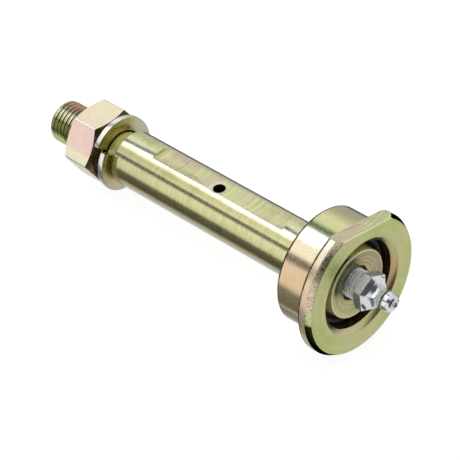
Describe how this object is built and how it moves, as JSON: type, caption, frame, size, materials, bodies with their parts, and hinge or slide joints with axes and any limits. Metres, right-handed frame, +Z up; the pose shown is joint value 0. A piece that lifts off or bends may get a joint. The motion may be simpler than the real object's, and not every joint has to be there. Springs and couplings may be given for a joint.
{
  "type": "fixed pin",
  "caption": "Greasable headed pin with a flanged, flatted head, grease nipple, oil hole in a shallow flat, and a threaded end with hexagon nut and spring lock washer.",
  "frame": {"origin": "bottom centre of the bounding box, with the part lying on the rim of its flange and on one flat of its nut", "axes": "+X runs along the pin towards its head, tilted up by 6.2 degrees with the pin's axis; +Z is up, away from the table; +Y is sideways"},
  "size_m": [0.1402, 0.0458, 0.0445],
  "materials": {
    "yellow_zinc": "turned steel, zinc plated and yellow passivated, with iridescent tints",
    "nut_zinc": "steel, zinc plated and yellow passivated, with pink tints",
    "washer_zinc": "spring steel, zinc plated",
    "bright_zinc": "steel, bright zinc plated",
    "ball_steel": "polished steel",
    "spring_steel": "plain spring wire"
  },
  "bodies": {
    "pin_body": {"pin": "yellow_zinc", "grease_nipple": "bright_zinc", "nipple_spring": "spring_steel"},
    "washer_body": {"lock_washer": "washer_zinc"},
    "nut_body": {"hex_nut": "nut_zinc"},
    "ball_body": {"check_ball": "ball_steel"}
  },
  "joints": [
    {"name": "nut_travel", "type": "slide", "parent": "pin_body", "child": "washer_body", "axis": [0.9942, 0, 0.1072], "range_m": [-0.0195, 0]},
    {"name": "nut_turn", "type": "hinge", "parent": "washer_body", "child": "nut_body", "pos_m": [-0.05126, 0, 0.01152], "axis": [0.9942, 0, 0.1072], "range_deg": [-4680, 0]},
    {"name": "valve_ball", "type": "slide", "parent": "pin_body", "child": "ball_body", "axis": [0.9942, 0, 0.1072], "range_m": [-0.001, 0], "stiffness_N_per_m": 1200, "springref_m": 0.0008, "deforming": ["nipple_spring"]}
  ],
  "couplings": [
    {"joint": "nut_travel", "follows": "nut_turn", "m_per_rad": 0.00023873}
  ]
}
